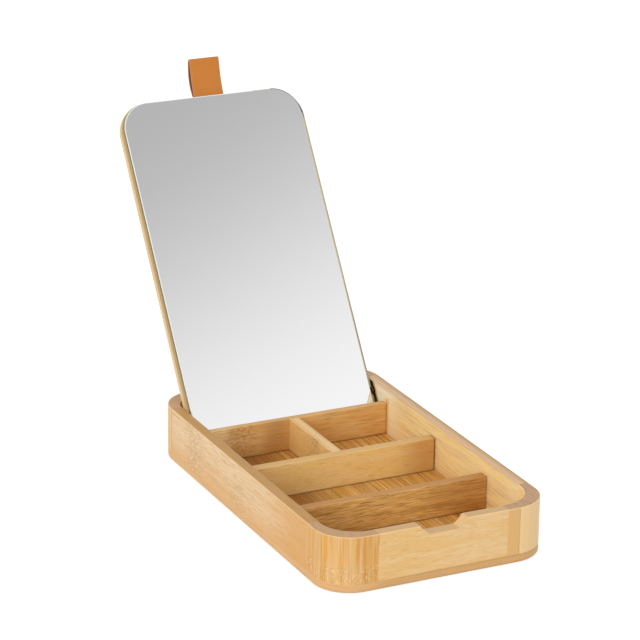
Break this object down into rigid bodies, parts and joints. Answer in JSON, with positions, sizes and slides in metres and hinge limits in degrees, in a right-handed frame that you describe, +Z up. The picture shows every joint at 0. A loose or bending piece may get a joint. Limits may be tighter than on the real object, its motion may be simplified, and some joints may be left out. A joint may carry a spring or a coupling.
{
  "type": "jewellery box with mirror lid",
  "caption": "Shallow bamboo jewellery tray with rounded corners, compartments and a tilting lid that carries a mirror and a leather pull tab.",
  "frame": {"origin": "middle of the tray's underside, on the surface that it stands on", "axes": "+X to the right along the pivot axis, +Y from the notched front to the back, +Z up"},
  "size_m": [0.14, 0.3402, 0.2139],
  "materials": {
    "base_bamboo": "satin lacquer",
    "wall_bamboo": "satin lacquer",
    "block_bamboo": "satin lacquer",
    "divider_bamboo": "satin lacquer",
    "panel_bamboo": "satin lacquer",
    "mirror": "polished",
    "foam_tape": "matte",
    "tan_leather": "smooth",
    "hinge_steel": "brushed",
    "bush_brass": "turned"
  },
  "bodies": {
    "tray": {"base_board": "base_bamboo", "left_wall": "wall_bamboo", "right_wall": "wall_bamboo", "front_wall": "wall_bamboo", "back_wall": "wall_bamboo", "corner_block_front_left": "block_bamboo", "corner_block_front_right": "block_bamboo", "corner_block_back_left": "block_bamboo", "corner_block_back_right": "block_bamboo", "front_divider": "divider_bamboo", "middle_divider": "divider_bamboo", "back_divider": "divider_bamboo", "short_divider": "divider_bamboo", "left_pivot_bush": "bush_brass", "right_pivot_bush": "bush_brass"},
    "lid": {"lid_panel": "panel_bamboo", "mirror_glass": "mirror", "mirror_tape": "foam_tape", "leather_tab": "tan_leather", "pivot_plate_screws": "hinge_steel", "left_pivot_plate": "hinge_steel", "right_pivot_plate": "hinge_steel", "left_pivot_pin": "hinge_steel", "right_pivot_pin": "hinge_steel"}
  },
  "joints": [
    {"name": "lid_tilt", "type": "hinge", "parent": "tray", "child": "lid", "pos_m": [0, 0.08965, 0.0273], "axis": [1, 0, 0], "range_deg": [0, 123.91]}
  ]
}
